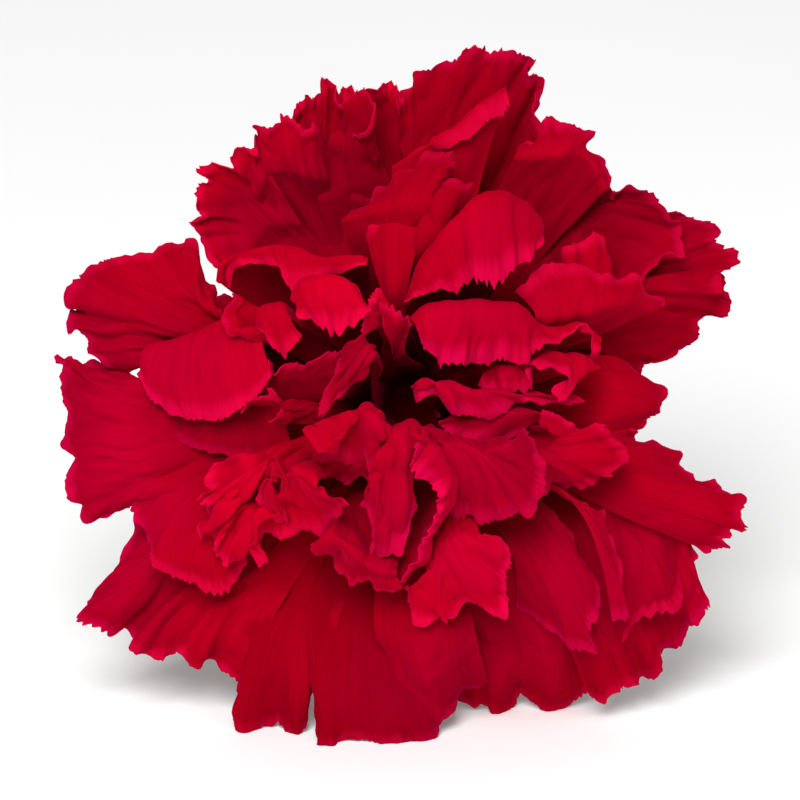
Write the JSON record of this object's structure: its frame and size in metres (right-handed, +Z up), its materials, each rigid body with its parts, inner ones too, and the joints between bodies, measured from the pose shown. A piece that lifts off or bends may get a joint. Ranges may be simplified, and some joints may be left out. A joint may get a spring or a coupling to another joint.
{
  "type": "cut carnation",
  "caption": "Cut double carnation lying on its side, with a ruffled crimson bloom, toothed calyx, short cut stem and a pair of narrow leaves.",
  "frame": {"origin": "middle of the footprint, on the surface that the flower lies on", "axes": "+Z up; -Y out of the bloom's face, which also looks up by 18.6 degrees; the stem runs back along +Y; +X to the right as seen facing the bloom"},
  "size_m": [0.0764, 0.1304, 0.074],
  "materials": {
    "petal": "soft matt crimson petal, paler veins, no gloss",
    "calyx": "ribbed matt green with a faint waxy bloom",
    "stem": "smooth waxy green stem, pale at the cut",
    "leaf": "blue-green waxy leaf"
  },
  "bodies": {
    "root": {"bloom": "petal", "calyx": "calyx", "stem": "stem", "leaf_left": "leaf", "leaf_right": "leaf"}
  },
  "joints": []
}
